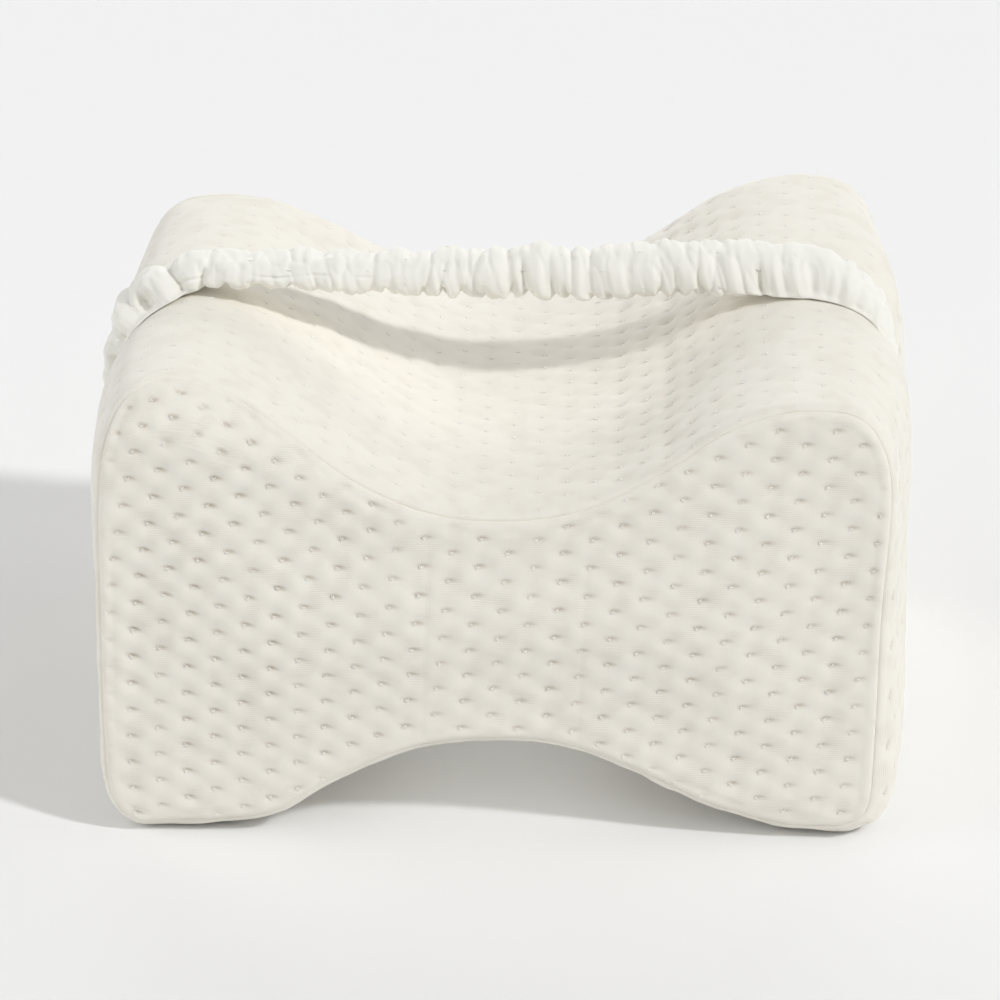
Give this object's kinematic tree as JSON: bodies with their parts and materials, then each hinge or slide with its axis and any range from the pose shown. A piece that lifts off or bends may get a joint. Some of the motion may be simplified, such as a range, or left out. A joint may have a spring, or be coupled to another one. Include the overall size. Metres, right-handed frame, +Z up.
{
  "type": "knee pillow",
  "caption": "Contoured knee pillow with an hourglass face, a leg channel above, an arch below, a quilted knit cover and a gathered leg strap across the top.",
  "frame": {"origin": "on the floor under the middle of the pillow", "axes": "+X along the pillow's length, towards the right in the picture; -Y out of the front face that the picture shows; +Z up through the leg channel"},
  "size_m": [0.2611, 0.203, 0.1672],
  "materials": {
    "quilted_knit": "off-white quilted jacquard knit with small pinched stars",
    "gathered_knit": "off-white knit gathered over elastic"
  },
  "bodies": {
    "root": {"pillow_pad": "quilted_knit", "leg_strap": "gathered_knit"}
  },
  "joints": []
}
